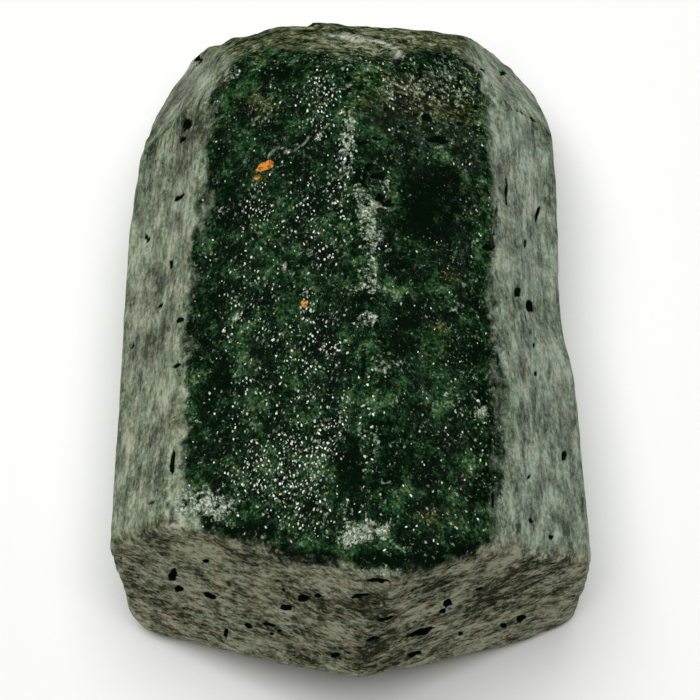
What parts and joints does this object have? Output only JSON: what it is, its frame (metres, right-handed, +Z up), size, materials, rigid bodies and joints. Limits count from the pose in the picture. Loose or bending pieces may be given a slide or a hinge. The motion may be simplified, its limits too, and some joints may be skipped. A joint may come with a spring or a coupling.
{
  "type": "black tourmaline crystal",
  "caption": "Stubby dark green-black tourmaline crystal lying on its flat back, with long prism faces, a pointed end, a rough broken end, worn ridges and pits.",
  "frame": {"origin": "centre of the bounding box's bottom, on the surface that the crystal rests on", "axes": "+Y along the crystal, from the pointed end to the broken end; +Z up, away from the flat back; +X to the right as seen from above with the broken end up"},
  "size_m": [0.0365, 0.0514, 0.031],
  "materials": {
    "tourmaline": "dark green-black mineral, half glossy on the upper faces with fine bright glints, satin grey-green on the sides and the pointed end"
  },
  "bodies": {
    "root": {"crystal": "tourmaline"}
  },
  "joints": []
}
